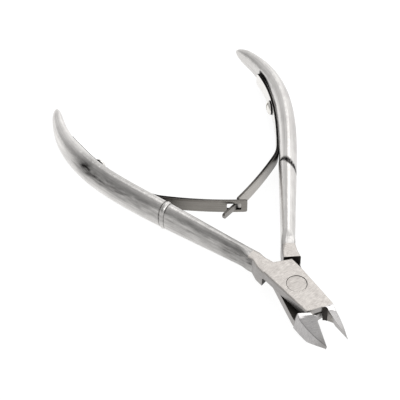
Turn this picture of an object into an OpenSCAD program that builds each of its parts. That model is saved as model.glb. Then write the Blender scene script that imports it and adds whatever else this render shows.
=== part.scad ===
// Cuticle nipper: two forged levers cross at a lap joint and two interlocking leaf springs hold them open.
// Millimetres, +Z up. The pivot axis is Z through the origin and the underside of the joint is at z = 0.
// Handles run toward +Y, jaws toward -Y. The upper lever has its handle at -X and its jaw at +X.
// The levers are drawn at rest, opened by their springs.

/* [Joint] */
// Thickness of the lap joint
joint_h = 4.8; // [4.6:0.1:5.2]
// Running gap between the two lap plates
lap_gap = 0.08; // [0.04:0.02:0.16]
// Turn of the upper lever's head from closed to rest, degrees
upper_open = 10.5; // [9:0.5:12]
// Turn of the lower lever's head from closed to rest, degrees
lower_open = 6.5; // [5:0.5:8]
// Distance of the handle-side shoulders from the pivot, at the middle
shoulder_back = 8.3; // [8.2:0.05:8.6]
// Lean of the handle-side shoulders toward the jaws, degrees
shoulder_lean = 15; // [12:1:16]
// Distance of the jaw-side shoulders from the pivot
shoulder_front = 8.75; // [8.7:0.05:8.9]
// Distance at which the ground flats end on the handles
flat_end = 11.5; // [11.2:0.1:12]
// Half width of the lap plates across the pivot
plate_half = 3.85; // [3.7:0.05:4]
// Half width of the lap plates at their front corner
plate_front_half = 3.5; // [3.3:0.05:3.6]
// Distance of the front corner of a lap plate from the pivot
plate_front = 7.5; // [7.3:0.1:7.6]
// Fall of a lap plate's front side from that corner to the throat
plate_rake = 1; // [0.9:0.1:1.1]
// Distance of the back corner of a lap plate from the pivot
plate_back = 6.3; // [6.1:0.1:6.5]
// Half gap between the levers at the shoulders and the throat when closed
crotch_gap = 0.2; // [0.15:0.05:0.3]
// Half width of a head where its handle leaves it
root_half = 4.1; // [4:0.05:4.2]
// Half gap between the handle roots when closed
root_gap = 0.85; // [0.75:0.05:0.95]
// Distance from the end of the flats at which a head ends inside its handle
root_short = 0.4; // [0.3:0.05:0.5]

/* [Jaws] */
// Distance of the jaw tips from the pivot
jaw_reach = 17.5; // [17:0.1:18]
// Half width of the two jaws at the joint, at the height of the cutting edges
jaw_half = 3.3; // [3.2:0.05:3.4]
// Radius of the curved outer side of a jaw
jaw_round = 29; // [26:1:34]
// Step by which that side stands out from the lap plate
jaw_step = 0.06; // [0.04:0.01:0.1]
// Outward lean of that side toward the underside, degrees
jaw_lean = 9; // [6:1:11]
// Distance at which the cutting edges start
edge_start = 11.1; // [11:0.1:11.4]
// Sideways place of the start of the cutting edges
edge_start_x = 0.55; // [0.45:0.05:0.6]
// Gap between the cutting edges when closed
edge_gap = 0.08; // [0.06:0.02:0.14]
// Height of the cutting edges at the tips
tip_z = 3; // [2.9:0.1:3.2]
// Height of the top facet behind the throat
facet_z = 4.25; // [4.15:0.05:4.35]
// Sideways fall of the top facet, degrees
facet_fall = 10; // [7:1:13]
// Width of the flat between the shoulder and the bevel
bevel_land = 0.05; // [0.03:0.01:0.1]
// Length of the bevel between the flat joint and the facet
bevel_run = 0.55; // [0.45:0.05:0.65]
// Fall of that bevel over its length
bevel_fall = 0.6; // [0.45:0.05:0.7]
// Height of the underside at the jaw tips
belly_z = 2.2; // [2:0.1:2.4]
// Distance at which the underside starts to rise
belly_start = 11; // [10.6:0.1:11.4]
// Sideways fall of the rising underside, degrees
belly_fall = 15; // [12:1:18]
// Lean of the inner jaw faces under the cutting edges, degrees
undercut = 14; // [11:1:15]
// Distance at which the throat hollow starts in the upper jaw
throat_start = 9.4; // [9.3:0.05:9.5]
// Distance at which the throat hollow ends
throat_end = 10.4; // [10.3:0.05:10.5]
// Depth of the throat hollow in the upper jaw
throat_depth = 1.5; // [1.45:0.05:1.6]
// Distance of the beak on the lower jaw, which fills that hollow
beak_at = 9.9; // [9.8:0.1:10]
// Length of the beak's blunt end
beak_flat = 0.3; // [0.2:0.05:0.35]
// Reach of the beak past the middle
beak_reach = 0.95; // [0.85:0.05:1]

/* [Handles] */
// Sideways place of the handle root
root_x = 4.6; // [4.5:0.1:4.8]
// Distance of the handle root ahead of the pivot
root_y = 12.26; // [12.1:0.02:12.5]
// Length of the handle sunk in the head
root_sunk = 2.42; // [2.3:0.02:2.5]
// Splay of the straight shank, degrees
splay = 28.6; // [28:0.1:29.2]
// Length of the straight shank
shank_len = 28.75; // [28:0.25:30]
// Reach of the bow along the shank direction
bow_out = 19.65; // [18.5:0.05:21]
// Reach of the bow along the tip direction
bow_in = 15.35; // [14.5:0.05:16.5]
// Sideways place of the handle tip
tip_x = 25.95; // [25:0.05:27]
// Distance of the handle tip from the pivot along the handles
tip_y = 78.8; // [78:0.1:80]
// Inward turn of the handle tip, degrees
tip_turn = 16.8; // [15:0.2:18]
// Half width of the handle at its root
grip_w_root = 1.66; // [1.6:0.02:1.72]
// Half width that shapes the shank
grip_w_shank = 1.9; // [1.8:0.05:2.1]
// Half width that shapes the middle of the handle
grip_w_mid = 2.4; // [2.2:0.05:2.6]
// Half width that shapes the bow
grip_w_bow = 2.75; // [2.6:0.05:2.9]
// Half width that shapes the tip
grip_w_tip = 1.4; // [1.2:0.05:1.6]
// Half height of the handle at its root
grip_h_root = 3.02; // [2.9:0.02:3.14]
// Half height that shapes the shank
grip_h_shank = 3.2; // [3.1:0.05:3.5]
// Half height that shapes the middle of the handle
grip_h_mid = 4.3; // [4.1:0.05:4.5]
// Half height that shapes the bow
grip_h_bow = 4.7; // [4.5:0.05:4.9]
// Half height that shapes the tip
grip_h_tip = 1.8; // [1.6:0.05:2]
// Squareness of the handle section, where 2 is an ellipse
grip_power = 2.3; // [2.1:0.1:2.6]
// Share of the half width that the flat spring seat leaves
seat_share = 0.92; // [0.9:0.01:0.94]
// Depth of the hollow between the seat and the end of the strip
seat_hollow = 0.5; // [0.3:0.05:0.6]
// Length of the wall at the end of that hollow, as a share of the bow
hollow_wall = 0.006; // [0.005:0.001:0.01]
// Place of the ring on the upper handle, from the handle root
upper_ring_at = 24.9; // [22:0.1:25.8]
// Place of the ring on the lower handle, from the handle root
lower_ring_at = 24.3; // [22:0.1:25.8]
// Half length of the ring with its two grooves
ring_half = 1.1; // [0.9:0.05:1.2]
// Height of the ring's bead
ring_bead = 0.26; // [0.1:0.02:0.36]
// Depth of the ring's grooves
ring_groove = 0.24; // [0.1:0.02:0.3]

/* [Springs] */
// Thickness of the spring strip
leaf_t = 0.7; // [0.6:0.05:0.8]
// Width of the spring strip
leaf_w = 3.8; // [3.6:0.1:4]
// Distance of the strip's middle below the middle of the handles
leaf_drop = 0.6; // [0.4:0.1:0.8]
// Place on the bow where the strip leaves the handle
leaf_leave = 1.065; // [1.06:0.005:1.085]
// Place on the bow where the strip ends
leaf_end = 1.72; // [1.68:0.01:1.74]
// Radius of the strip's bend away from the handle
bend_r = 9; // [8.5:0.5:10]
// Angle of that bend, degrees
bend_turn = 26.3; // [25.3:0.1:27]
// Radius of the strip's long bow past the bend
bow_r = 95; // [85:1:110]
// Length of the slotted strip past the crossing
slot_past = 2.8; // [2.6:0.1:3.2]
// Length of the tongued strip past the crossing
tongue_past = 4.6; // [4.2:0.1:5.5]
// Length of the slot
slot_len = 4.1; // [3.8:0.1:4.2]
// Width of the slot
slot_w = 2.1; // [1.9:0.1:2.3]
// Width of the tongue
tongue_w = 1.6; // [1.3:0.1:1.7]
// Distance of the tongue's shoulders before the crossing
tongue_back = 1.3; // [1.2:0.1:1.6]
// Radius of the round root of each moving strip end
flex_round = 0.3; // [0.26:0.01:0.31]
// Gap round the corners of that root
flex_gap = 0.06; // [0.04:0.01:0.08]

/* [Fasteners] */
// Diameter of the flush rivet head
rivet_head_d = 4.6; // [4.4:0.1:5]
// Depth of the rivet head
rivet_head_h = 1; // [0.8:0.1:1.3]
// Diameter of the rivet shank
rivet_d = 3.4; // [3:0.1:3.8]
// Radial clearance between the rivet and the upper lever
rivet_fit = 0.03; // [0.02:0.01:0.06]
// Place of the spring screws on the bow
screw_at = 1.4; // [1.36:0.01:1.44]
// Diameter of the screw shank
screw_d = 1.8; // [1.6:0.1:2]
// Depth of the screw in the handle
screw_deep = 2.4; // [2:0.1:2.6]
// Clearance round the screw in the strip
screw_fit = 0.1; // [0.05:0.05:0.2]
// Diameter of the screw head
screw_head_d = 3.4; // [3:0.1:3.6]
// Height of the screw head
screw_head_h = 0.9; // [0.7:0.05:1.1]
// Width of the screwdriver slot
driver_w = 0.5; // [0.4:0.05:0.6]
// Depth of the screwdriver slot
driver_deep = 0.4; // [0.3:0.05:0.5]
// Lift of the screw head over the hollow of the curved strip
head_lift = 0.04; // [0.03:0.01:0.06]

/* [Hidden] */
$fn = 64;
far = 40;
over = 2;
steel = [0.78, 0.77, 0.75];
spring_steel = [0.55, 0.55, 0.54];
mid_z = joint_h / 2;
leaf_z = mid_z - leaf_drop;
sides = 24;
shank_rings = 8;
seat_rings = 14;
tip_rings = 9;
bend_steps = 5;
bow_steps = 12;
shank_dir = [sin(splay), cos(splay)];
tip_dir = [-sin(tip_turn), cos(tip_turn)];
shank_top = [root_x, root_y] + shank_len * shank_dir;
bow = [shank_top, shank_top + bow_out * shank_dir, [tip_x, tip_y] - bow_in * tip_dir, [tip_x, tip_y]];
edge_lean = atan(edge_start_x / (jaw_reach - edge_start));
jaw_y = -plate_front - plate_rake;
bottom_widening = tip_z * tan(jaw_lean);
top_narrowing = (joint_h - tip_z) * tan(jaw_lean);
belly_slope = belly_z / (jaw_reach - belly_start);
bevel_slope = bevel_fall / bevel_run;
bevel_y = -shoulder_front - bevel_land;
facet_y = bevel_y - bevel_run;
facet_slope = (facet_z - tip_z) / (jaw_reach + facet_y);

// Point that a list of control values shapes, at 0 to 1
function shaped(c, t) =
    len(c) == 1 ? c[0] : shaped([for (i = [0 : len(c) - 2]) c[i] * (1 - t) + c[i + 1] * t], t);
// Centreline of the lower handle: 0 to 1 along the straight shank, 1 to 2 along the bow
function centre(t) = t < 1 ? [root_x, root_y] + t * shank_len * shank_dir : shaped(bow, t - 1);
// Direction of the centreline
function heading(t) =
    let (d = t < 1 ? shank_dir : shaped([for (i = [0 : 2]) bow[i + 1] - bow[i]], t - 1))
    d / norm(d);
// Direction from the centreline toward the other handle
function inward(t) = let (d = heading(t)) [-d[1], d[0]];
// Rounding of the handle over its last stretch, from 1 down to the share of a small end flat
function tip_fall(t, flat) = t < 1.9 ? 1 : sqrt(max(flat * flat, 1 - pow((t - 1.9) / 0.1, 2)));
function half_w(t) =
    tip_fall(t, 0.16) * shaped([grip_w_root, grip_w_shank, grip_w_mid, grip_w_bow, grip_w_tip], t / 2);
function half_h(t) =
    tip_fall(t, 0.4) * shaped([grip_h_root, grip_h_shank, grip_h_mid, grip_h_bow, grip_h_tip], t / 2);
// Distance of the flat spring seat from the centreline
function seat(t) = half_w(t) * (1 - (1 - seat_share) * max(0, min(1, (t - 0.95) / 0.05)));
// Depth of the seat's hollow, from the screw to the end of the strip
function hollow(t) =
    t > leaf_end + hollow_wall / 2 ? 0 : seat_hollow * pow(max(0, t - screw_at) / (leaf_end - screw_at), 2);
// Rise of the ring's bead and fall of its grooves at a distance from its middle
function ring_rise(d) =
    let (k = abs(d) / ring_half)
    k > 1 ? 0 : k > 0.6 ? -ring_groove * sin(450 * (k - 0.6)) : ring_bead * cos(150 * k);
// Rounded handle section, cut flat on the side of the spring seat
function section(t, rise) = [for (i = [0 : sides - 1])
    let (
        a = 360 * i / sides,
        x = sign(cos(a)) * pow(abs(cos(a)), 2 / grip_power) * (half_w(t) + rise),
        z = sign(sin(a)) * pow(abs(sin(a)), 2 / grip_power) * (half_h(t) + rise),
        p = centre(t) + min(x, seat(t) - hollow(t) + rise) * inward(t)
    )
    [p[0], p[1], mid_z + z]];
// Places shared by the handle's rings and the spring strip along the seat
function seat_place(i) = leaf_leave + (leaf_end - leaf_leave) * i / seat_rings;
// Places of the handle's rings along the centreline, closer together at the decorative ring
function places(ring_at) =
    let (start = -root_sunk / shank_len, ring_start = (ring_at - ring_half) / shank_len)
    concat(
        [for (i = [0 : shank_rings - 1]) start + (ring_start - start) * i / shank_rings],
        [for (i = [0 : 12]) ring_start + ring_half * i / 6 / shank_len],
        [0.97, 1, 1.04],
        [for (i = [0 : seat_rings]) seat_place(i)],
        [leaf_end + hollow_wall],
        [for (i = [1 : tip_rings]) leaf_end + (2 - leaf_end) * sin(90 * i / tip_rings)]
    );

// The strip leaves the tongued side's handle at this point, turned this far from -Y toward -X
leave_point = centre(leaf_leave) + (seat(leaf_leave) + leaf_t / 2) * inward(leaf_leave);
leave_turn = atan2(heading(leaf_leave)[0], heading(leaf_leave)[1]);
bend_end_turn = leave_turn + bend_turn;
bend_end = leave_point + bend_r * arc_step(leave_turn, bend_end_turn);
hinge_turn = leave_turn + bend_turn / 2;
hinge_point = leave_point + bend_r * arc_step(leave_turn, hinge_turn);
// Turn of the strip where it crosses the middle plane between the handles
cross_turn = acos(cos(bend_end_turn) - bend_end[0] / bow_r);
cross_point = bend_end + bow_r * arc_step(bend_end_turn, cross_turn);
// Move along an arc of radius 1 from one turn to another
function arc_step(from, to) = [cos(to) - cos(from), sin(from) - sin(to)];
// Side of the strip toward its own handle
function strip_side(turn) = [cos(turn), -sin(turn)];
// Turn of the strip at a distance past the crossing
function past_turn(d) = cross_turn + d / bow_r * 180 / PI;
function bend_point(turn) = leave_point + bend_r * arc_step(leave_turn, turn);
function bow_point(turn) = bend_end + bow_r * arc_step(bend_end_turn, turn);

// Handle of the lower lever, swept along its centreline
module handle(ring_at) {
    spots = places(ring_at);
    n = len(spots);
    rows = [for (t = spots) section(t, t < 0.97 ? ring_rise(t * shank_len - ring_at) : 0)];
    walls = [for (j = [0 : n - 2]) for (i = [0 : sides - 1])
        let (a = j * sides + i, b = j * sides + (i + 1) % sides)
        each [[b, a, a + sides], [b, a + sides, b + sides]]];
    caps = [for (i = [0 : sides - 1])
        let (next = (i + 1) % sides, top = (n - 1) * sides)
        each [[i, next, n * sides], [top + next, top + i, n * sides + 1]]];
    points = concat([for (r = rows) each r], [for (t = [spots[0], spots[n - 1]]) concat(centre(t), mid_z)]);
    polyhedron(points, concat(walls, caps));
}

// Extrusion that stands over the joint's thickness on both sides, to be cut to it by the flats
module over_high() {
    translate([0, 0, -over]) linear_extrude(joint_h + 2 * over) children();
}

// Outline of a lever's head when closed, without its jaw, with its handle root at -X
module head_outline(jaw_side) {
    outer_shoulder = shoulder_back - root_half * tan(shoulder_lean);
    polygon([
        [-root_half, flat_end - root_short],
        [-root_half, outer_shoulder],
        [-plate_half, outer_shoulder - root_half + plate_half],
        [-plate_front_half, -plate_front],
        [crotch_gap, jaw_y],
        [jaw_side, jaw_y],
        [plate_half, plate_back / 2],
        [plate_half, plate_back],
        [-crotch_gap, shoulder_back - crotch_gap],
        [-root_gap, flat_end - root_short]
    ]);
}

// Jaw at +X with its outer side on a leaning cylinder, between an inner outline and the joint
module jaw(inner) {
    chord = [jaw_half, jaw_y + jaw_reach];
    outward = [chord[1], -chord[0]] / norm(chord);
    middle = [jaw_half, jaw_y - jaw_reach] / 2;
    inset = sqrt(jaw_round * jaw_round - pow(norm(chord) / 2, 2)) * outward;
    intersection() {
        over_high() polygon(concat([[crotch_gap, jaw_y]], inner, [[far, -jaw_reach], [far, jaw_y]]));
        translate([middle[0], middle[1], tip_z])
            rotate(-jaw_lean, [chord[0], chord[1], 0])
            translate([-inset[0], -inset[1], 0])
            cylinder(r = jaw_round, h = far, center = true, $fn = 128);
    }
}

// Solid across the joint with a given profile of distance from the pivot and height
module across(profile) {
    translate([-far / 2, 0, 0]) rotate([90, 0, 90]) linear_extrude(far) polygon(profile);
}

// Cuts of a jaw: the top facet, its bevel, the rising underside and the undercut inner face
module jaw_cuts(lean) {
    intersection() {
        rotate([0, facet_fall, 0]) across([
            [0, facet_z - facet_slope * facet_y],
            [-far, facet_z - facet_slope * (far + facet_y)],
            [-far, far],
            [0, far]
        ]);
        across([
            [bevel_y + over / bevel_slope, joint_h + over],
            [-far, joint_h - bevel_slope * (far + bevel_y)],
            [-far, far],
            [bevel_y + over / bevel_slope, far]
        ]);
    }
    rotate([0, belly_fall, 0]) across([
        [-belly_start + over / belly_slope, -over],
        [-far, belly_slope * (far - belly_start)],
        [-far, -far],
        [-belly_start + over / belly_slope, -far]
    ]);
    translate([edge_gap / 2, -jaw_reach, tip_z])
        rotate([0, 0, -lean])
        rotate([atan(facet_slope), 0, 0])
        rotate([0, -undercut, 0])
        translate([-far, -far / 2, -far])
        cube([far, far / 2 + jaw_reach - edge_start, far]);
}

// Head of a lever when closed, with its jaw at +X, before the flats and the lap are cut
module head(jaw_side, inner, lean) {
    difference() {
        union() {
            over_high() head_outline(jaw_side);
            jaw(inner);
        }
        jaw_cuts(lean);
    }
}

// Space over and under the ground flats of a closed head
module off_flats() {
    for (z = [-far, joint_h])
        translate([-far / 2, -far / 2, z]) cube([far, far / 2 + flat_end, far]);
}

// Space that the other lever's lap plate turns in, starting at a height
module lap_space(z) {
    rise = far / 2 * tan(shoulder_lean);
    translate([0, 0, z]) linear_extrude(far) polygon([
        [-far / 2, -shoulder_front],
        [far / 2, -shoulder_front],
        [far / 2, shoulder_back + rise],
        [-far / 2, shoulder_back - rise]
    ]);
}

// Places its children on the lower handle's spring seat, Z pointing inward from the handle
module on_seat(depth) {
    p = centre(screw_at) + depth * inward(screw_at);
    d = heading(screw_at);
    translate([p[0], p[1], leaf_z]) rotate([0, 0, -atan2(d[0], d[1])]) rotate([0, -90, 0]) children();
}

// Tapped hole for a spring screw in the lower handle
module screw_hole() {
    on_seat(seat(screw_at) - screw_deep) cylinder(d = screw_d, h = screw_deep + leaf_t);
}

module upper_lever() {
    inner = [
        [throat_depth, -throat_start],
        [throat_depth, -throat_end],
        [edge_start_x + edge_gap / 2, -edge_start],
        [edge_gap / 2, -jaw_reach]
    ];
    color(steel) difference() {
        union() {
            mirror([1, 0, 0]) handle(upper_ring_at);
            rotate([0, 0, upper_open]) head(jaw_half - top_narrowing - jaw_step, inner, edge_lean);
        }
        rotate([0, 0, upper_open]) off_flats();
        rotate([0, 0, upper_open]) lap_space(mid_z + lap_gap / 2 - far);
        cylinder(d = rivet_d + 2 * rivet_fit, h = far, center = true);
        translate([0, 0, joint_h - rivet_head_h - rivet_fit])
            cylinder(d = rivet_head_d + 2 * rivet_fit, h = far);
        mirror([1, 0, 0]) screw_hole();
    }
}

module lower_lever() {
    inner = [
        [-beak_reach, -beak_at],
        [-beak_reach, -beak_at - beak_flat],
        [-edge_start_x + edge_gap / 2, -edge_start],
        [edge_gap / 2, -jaw_reach]
    ];
    color(steel) difference() {
        union() {
            handle(lower_ring_at);
            mirror([1, 0, 0]) rotate([0, 0, lower_open])
                head(jaw_half + bottom_widening - jaw_step, inner, -edge_lean);
        }
        mirror([1, 0, 0]) rotate([0, 0, lower_open]) off_flats();
        mirror([1, 0, 0]) rotate([0, 0, lower_open]) lap_space(mid_z - lap_gap / 2);
        cylinder(d = rivet_d, h = far, center = true);
        screw_hole();
    }
}

// Rivet with a flush head, set in the lower lever
module pivot_rivet() {
    color(steel) {
        cylinder(d = rivet_d, h = joint_h - rivet_head_h);
        translate([0, 0, joint_h - rivet_head_h]) cylinder(d = rivet_head_d, h = rivet_head_h);
    }
}

// Outline of a strip through a list of [point, turn] pairs, centred on them
module strip_outline(spots) {
    last = len(spots) - 1;
    polygon(concat(
        [for (s = spots) s[0] + leaf_t / 2 * strip_side(s[1])],
        [for (i = [0 : last]) spots[last - i][0] - leaf_t / 2 * strip_side(spots[last - i][1])]
    ));
}

// Strip of a given width, centred on the springs' middle plane
module strip(spots, width) {
    translate([0, 0, leaf_z - width / 2]) linear_extrude(width) strip_outline(spots);
}

// Round at the hinge of a strip: the root of its moving end, or the space for it
module flex_root(radius, height) {
    translate([hinge_point[0], hinge_point[1], leaf_z]) cylinder(r = radius, h = height, center = true);
}

// Clamped part of the tongued strip, along the handle's seat and up to the middle of the bend
module leaf_seat() {
    seated = [for (i = [0 : seat_rings])
        let (t = seat_place(seat_rings - i), d = heading(t))
        [centre(t) + (seat(t) + leaf_t / 2) * inward(t), atan2(d[0], d[1])]];
    bent = [for (i = [1 : bend_steps])
        let (turn = leave_turn + (hinge_turn - leave_turn) * i / bend_steps)
        [bend_point(turn), turn]];
    difference() {
        strip(concat(seated, bent), leaf_w);
        flex_root(leaf_t / 2 + flex_gap, 2 * leaf_w);
        on_seat(0) cylinder(d = screw_d + 2 * screw_fit, h = seat(screw_at) + 2 * leaf_t);
    }
}

// Spots of a moving strip end from the middle of the bend to a distance past the crossing
function end_spots(past) = concat(
    [for (i = [0 : bend_steps])
        let (turn = hinge_turn + (bend_end_turn - hinge_turn) * i / bend_steps)
        [bend_point(turn), turn]],
    [for (i = [1 : bow_steps])
        let (turn = bend_end_turn + (past_turn(past) - bend_end_turn) * i / bow_steps)
        [bow_point(turn), turn]]
);

module slotted_leaf_seat() {
    color(spring_steel) mirror([1, 0, 0]) leaf_seat();
}

// Moving end of the slotted strip, with the slot at the crossing
module slotted_leaf_end() {
    color(spring_steel) mirror([1, 0, 0]) {
        flex_root(flex_round, leaf_w);
        difference() {
            strip(end_spots(slot_past), leaf_w);
            translate([cross_point[0], cross_point[1], leaf_z])
                rotate([0, 0, 90 - cross_turn])
                cube([slot_len, 4 * leaf_t, slot_w], center = true);
        }
    }
}

module tongued_leaf_seat() {
    color(spring_steel) leaf_seat();
}

// Moving end of the tongued strip, narrowed to a tongue that passes through the slot
module tongued_leaf_end() {
    shoulder = past_turn(-tongue_back);
    tongue = [for (i = [0 : bend_steps])
        let (turn = shoulder + (past_turn(tongue_past) - shoulder) * i / bend_steps)
        [bow_point(turn), turn]];
    color(spring_steel) {
        flex_root(flex_round, leaf_w);
        strip(end_spots(-tongue_back), leaf_w);
        strip(tongue, tongue_w);
    }
}

// Slotted screw that clamps the strip on the lower handle
module spring_screw() {
    color(steel) on_seat(seat(screw_at) - screw_deep) {
        cylinder(d = screw_d, h = screw_deep + leaf_t + head_lift);
        translate([0, 0, screw_deep + leaf_t + head_lift]) difference() {
            cylinder(d = screw_head_d, h = screw_head_h);
            translate([0, 0, screw_head_h]) cube([driver_w, far, 2 * driver_deep], center = true);
        }
    }
}

module slotted_leaf_screw() {
    mirror([1, 0, 0]) spring_screw();
}

module tongued_leaf_screw() {
    spring_screw();
}

upper_lever();
lower_lever();
pivot_rivet();
slotted_leaf_seat();
slotted_leaf_end();
tongued_leaf_seat();
tongued_leaf_end();
slotted_leaf_screw();
tongued_leaf_screw();
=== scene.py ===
import math
import bpy
import numpy as np
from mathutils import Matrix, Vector


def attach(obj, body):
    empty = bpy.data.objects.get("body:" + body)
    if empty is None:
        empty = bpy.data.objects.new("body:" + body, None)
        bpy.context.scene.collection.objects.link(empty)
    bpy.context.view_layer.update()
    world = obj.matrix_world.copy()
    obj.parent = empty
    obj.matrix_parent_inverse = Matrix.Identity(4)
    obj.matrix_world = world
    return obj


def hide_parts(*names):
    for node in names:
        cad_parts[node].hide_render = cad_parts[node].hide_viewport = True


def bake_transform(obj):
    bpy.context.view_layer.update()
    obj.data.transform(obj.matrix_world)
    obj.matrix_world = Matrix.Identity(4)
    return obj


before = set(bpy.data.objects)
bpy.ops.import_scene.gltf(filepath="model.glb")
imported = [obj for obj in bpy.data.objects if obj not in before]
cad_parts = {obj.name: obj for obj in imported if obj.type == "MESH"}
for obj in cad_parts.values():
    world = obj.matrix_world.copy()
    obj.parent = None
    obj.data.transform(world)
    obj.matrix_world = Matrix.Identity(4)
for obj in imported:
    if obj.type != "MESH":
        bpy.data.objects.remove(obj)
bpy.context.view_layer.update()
mm = 0.001


# sRGB hex to the linear colour that shaders take: each channel through the sRGB curve
def hexColor(code):
    channel = np.array([int(code[i:i + 2], 16) / 255 for i in (0, 2, 4)])
    linear = np.where(channel <= 0.04045, channel / 12.92, ((channel + 0.055) / 1.055) ** 2.4)
    return (*linear.tolist(), 1.0)


# one node with its properties, its fixed inputs and the outputs that feed it
def addNode(tree, kind, props=None, values=None, feeds=None):
    node = tree.nodes.new(kind)
    for name, value in (props or {}).items():
        setattr(node, name, value)
    for name, value in (values or {}).items():
        node.inputs[name].default_value = value
    for name, (source, output) in (feeds or {}).items():
        tree.links.new(source.outputs[output], node.inputs[name])
    return node


# Bernstein sum: control values weighted by the binomial of their place, at every t at once
def shaped(values, t):
    values = np.asarray(values, float)
    n = len(values) - 1
    weights = np.stack([math.comb(n, i) * t ** i * (1 - t) ** (n - i) for i in range(n + 1)])
    return np.tensordot(weights.T, values, 1)


# every value held between 0 and 1
def clamp(x):
    return np.clip(x, 0, 1)


# smooth step: the held value on the cubic 3x^2 - 2x^3
def eased(x):
    x = clamp(x)
    return x * x * (3 - 2 * x)


# quarter circle: 1 where x is 0, falling to 0 where x is 1
def rounded(x):
    return np.sqrt(1 - clamp(x) ** 2)


# bell curve: 1 at the centre, e^-1 one width away from it
def bell(x, centre, width):
    return np.exp(-((x - centre) / width) ** 2)


# keys in a table, each interval cut in its own number of steps, columns interpolated straight
def between(table, steps):
    table = np.asarray(table, float)
    spans = [np.linspace(i, i + 1, n, endpoint=False) for i, n in enumerate(steps)]
    place = np.concatenate(spans + [[len(steps)]])
    return np.stack([np.interp(place, np.arange(len(table)), column) for column in table.T], 1)


# points on each corner and on each side of a section, and the most of the half size that a radius takes
loop = {"arc": 6, "flat": 9, "mostRadius": 0.96}
side, halfArc = loop["arc"] + loop["flat"] - 1, loop["arc"] // 2  # points from corner to corner and in half of one


# Closed section carried along rows of four corners (right top, left top, left bottom, right bottom).
# In the corner frame it is a rounded rectangle with a radius at each corner, mixed by weight with the
# superellipse |u|^p + |v|^p = 1 read in the same directions; u is cut at limit for a flat on the right.
def sectionRows(corners, radii, weight=0.0, power=2.0, limit=1.0):
    rows = len(corners)
    weight, limit = np.broadcast_to(weight, rows)[:, None], np.broadcast_to(limit, rows)[:, None]
    rightTop, leftTop, leftBottom, rightBottom = np.moveaxis(corners, 1, 0)
    halfU = np.linalg.norm(rightTop + rightBottom - leftTop - leftBottom, axis=1)[:, None] / 4
    halfV = np.linalg.norm(rightTop + leftTop - rightBottom - leftBottom, axis=1)[:, None] / 4
    turn = np.linspace(0, np.pi / 2, loop["arc"])
    arcs = []
    for i, (sideU, sideV) in enumerate(((1, 1), (-1, 1), (-1, -1), (1, -1))):
        r = np.minimum(radii[:, i:i + 1], loop["mostRadius"] * np.minimum(halfU, halfV))
        arcs.append(np.stack([sideU * (halfU - r) + r * np.cos(turn + i * np.pi / 2),
                              sideV * (halfV - r) + r * np.sin(turn + i * np.pi / 2)], -1))
    share = np.arange(1, loop["flat"])[None, :, None] / loop["flat"]
    flats = [a[:, -1:] * (1 - share) + b[:, :1] * share for a, b in zip(arcs, arcs[1:] + arcs[:1])]
    ring = np.concatenate([piece for pair in zip(arcs, flats) for piece in pair], 1)
    u, v = ring[..., 0] / halfU, ring[..., 1] / halfV
    angle = np.arctan2(v, u)
    reach = (np.abs(np.cos(angle)) ** power + np.abs(np.sin(angle)) ** power) ** (-1 / power)
    u = np.minimum(u * (1 - weight) + reach * np.cos(angle) * weight, limit)[..., None] / 2 + 0.5
    v = (v * (1 - weight) + reach * np.sin(angle) * weight)[..., None] / 2 + 0.5
    top = leftTop[:, None] * (1 - u) + rightTop[:, None] * u
    bottom = leftBottom[:, None] * (1 - u) + rightBottom[:, None] * u
    return bottom * (1 - v) + top * v


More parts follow.
